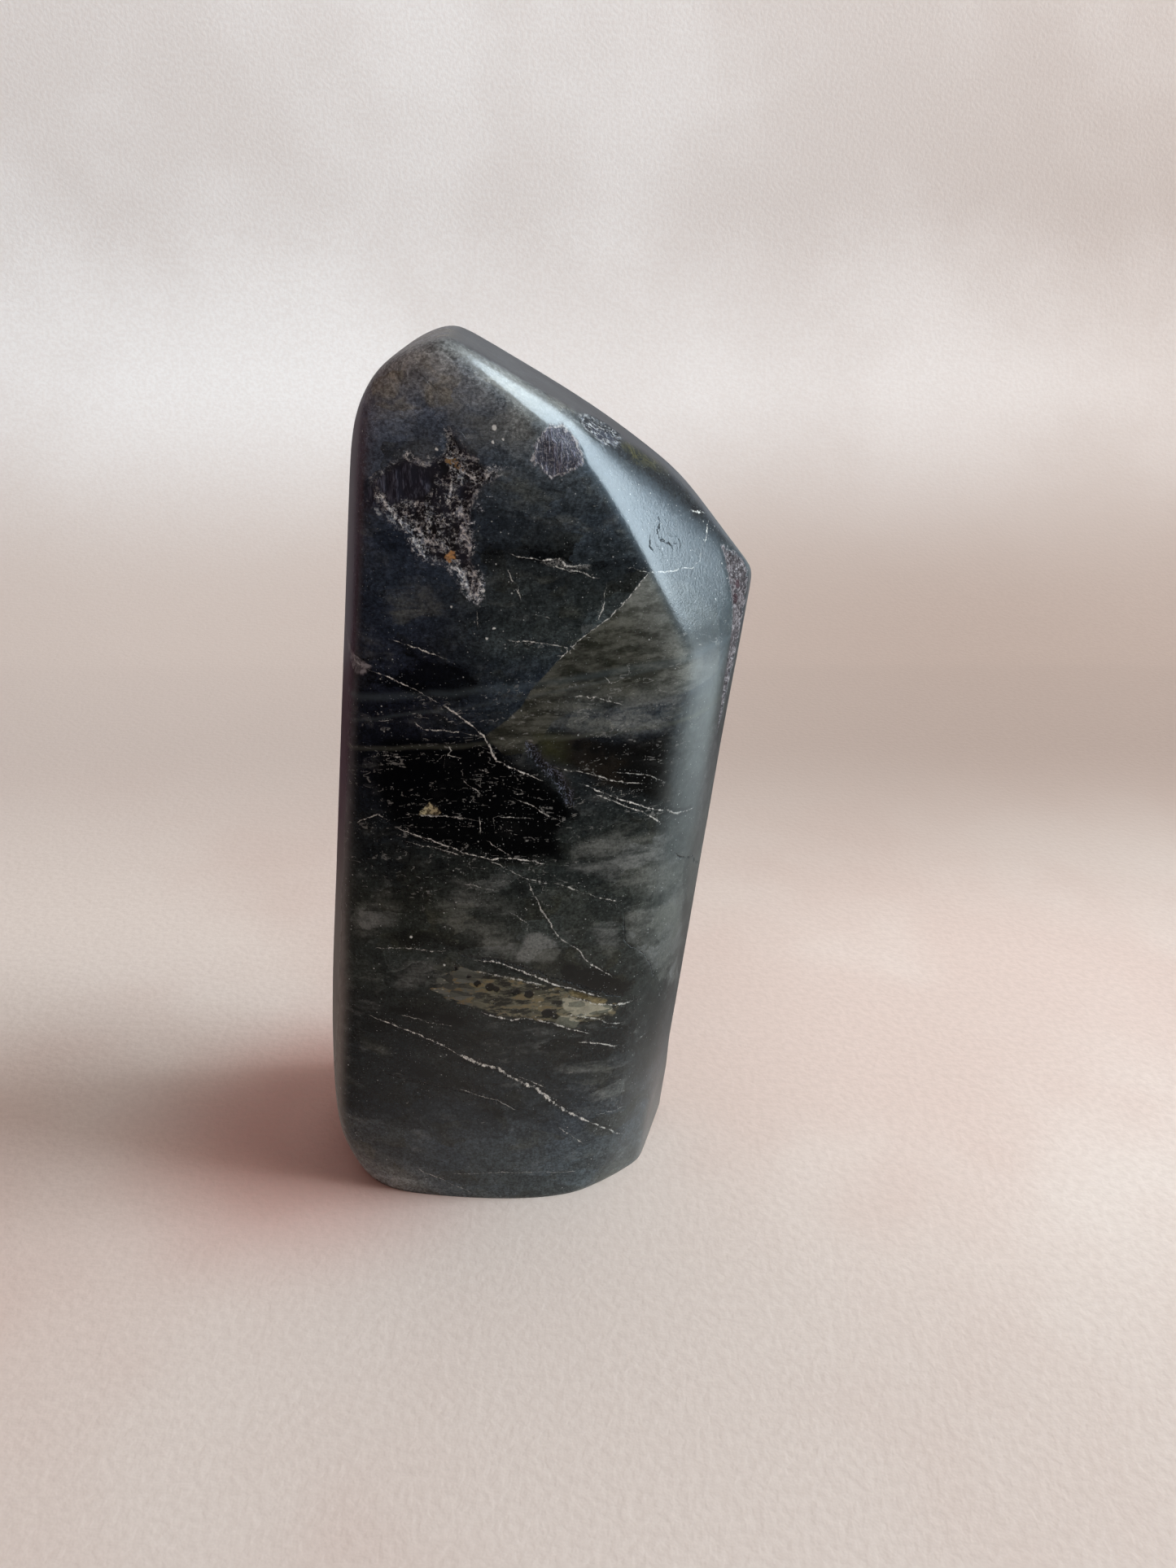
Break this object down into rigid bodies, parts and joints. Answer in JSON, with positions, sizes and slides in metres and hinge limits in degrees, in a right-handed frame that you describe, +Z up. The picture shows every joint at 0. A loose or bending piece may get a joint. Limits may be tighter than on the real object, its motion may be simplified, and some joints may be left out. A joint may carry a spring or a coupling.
{
  "type": "polished labradorite freeform",
  "caption": "Upright polished labradorite: a dark faceted stone that leans to the right, with a slanted crown and a flat cut foot.",
  "frame": {"origin": "middle of the bounding box's floor, on the flat cut that the stone stands on", "axes": "+Z up along the stone's height; the broad front that the picture shows faces -Y; the stone leans towards +X"},
  "size_m": [0.0547, 0.0294, 0.1098],
  "materials": {
    "polished_stone": "polished grey-green to black feldspar, opaque, with pale cracks, unpolished pits and a satin gloss"
  },
  "bodies": {
    "root": {"stone": "polished_stone"}
  },
  "joints": []
}
